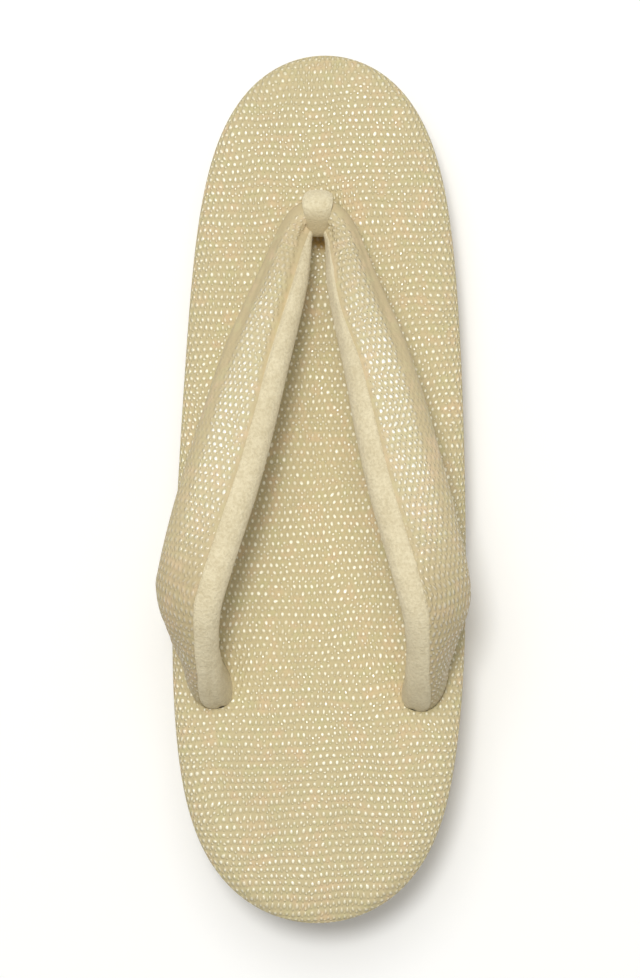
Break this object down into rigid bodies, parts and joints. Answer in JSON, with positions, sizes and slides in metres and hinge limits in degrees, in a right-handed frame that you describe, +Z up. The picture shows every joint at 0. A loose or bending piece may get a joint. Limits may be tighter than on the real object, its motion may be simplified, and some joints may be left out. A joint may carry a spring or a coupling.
{
  "type": "zori sandal",
  "caption": "Wedge-soled thong sandal with a padded V-shaped strap on a toe post, a cushioned embossed footbed, a foam midsole and a grooved rubber outsole.",
  "frame": {"origin": "on the floor under the middle of the sole", "axes": "+Z up, +Y toward the toes, +X to the right seen from above with the toes ahead"},
  "size_m": [0.0812, 0.23, 0.0803],
  "materials": {
    "footbed_leather": "bead-embossed, pearly",
    "midsole_foam": "matte moulded foam",
    "outsole_rubber": "matte",
    "strap_leather": "bead-embossed, pearly",
    "strap_suede": "suede nap",
    "post_suede": "suede nap"
  },
  "bodies": {
    "root": {"footbed": "footbed_leather", "midsole": "midsole_foam", "outsole": "outsole_rubber", "strap_upper": "strap_leather", "strap_lining": "strap_suede", "toe_post": "post_suede"}
  },
  "joints": []
}
